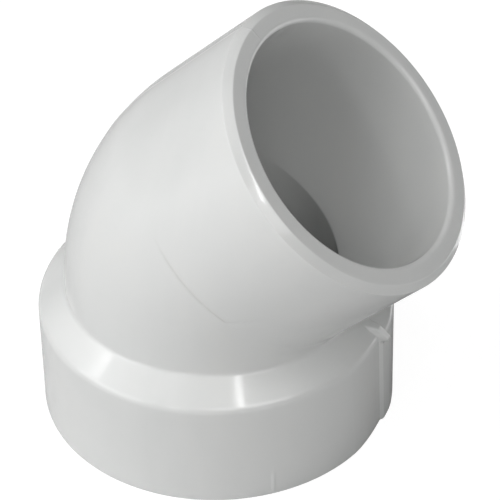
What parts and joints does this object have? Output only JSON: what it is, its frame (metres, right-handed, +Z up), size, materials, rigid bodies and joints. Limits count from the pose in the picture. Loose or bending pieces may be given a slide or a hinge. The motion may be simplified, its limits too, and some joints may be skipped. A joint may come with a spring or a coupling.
{
  "type": "45 degree pvc street elbow",
  "caption": "Rigid white PVC 45 degree elbow: a short socket hub at one end that takes the pipe, a plain spigot at the other that slides into the next hub.",
  "frame": {"origin": "centre of the bounding box in plan, on the plane of the hub's end face, which the fitting stands on", "axes": "+Z up along the hub's axis, +X towards the side that the spigot leans to, Y across the plane of symmetry"},
  "size_m": [0.0682, 0.057, 0.0718],
  "materials": {
    "white_pvc": "smooth injection-moulded rigid PVC, semi-gloss"
  },
  "bodies": {
    "root": {"elbow_body": "white_pvc"}
  },
  "joints": []
}
